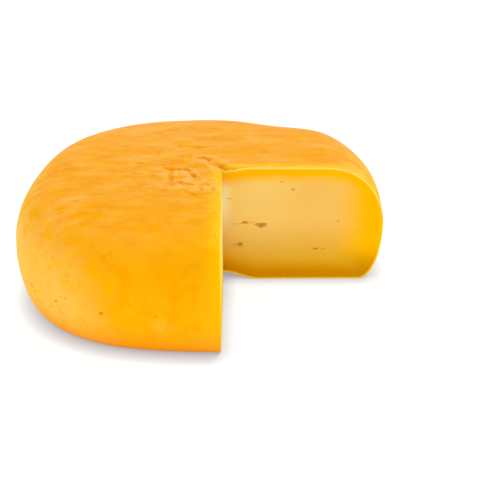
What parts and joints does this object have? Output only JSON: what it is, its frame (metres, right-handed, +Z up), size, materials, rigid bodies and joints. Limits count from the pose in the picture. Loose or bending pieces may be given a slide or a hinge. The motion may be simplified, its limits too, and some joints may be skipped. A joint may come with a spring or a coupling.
{
  "type": "mahon cheese wheel with a quarter cut out",
  "caption": "Round-cornered wheel of pressed cow's milk cheese with an orange rind, a dented swirl on top and one quarter cut out to show the pale paste.",
  "frame": {"origin": "middle of the whole wheel's outline, on the surface that the wheel rests on", "axes": "+Z up; the missing quarter lies towards +X and -Y, between a flat cut that faces +X and a flat cut that faces -Y"},
  "size_m": [0.2014, 0.1975, 0.0679],
  "materials": {
    "cheese": "oiled orange rind with a soft sheen, pale cream paste on the two cut faces"
  },
  "bodies": {
    "root": {"cheese_wheel": "cheese"}
  },
  "joints": []
}
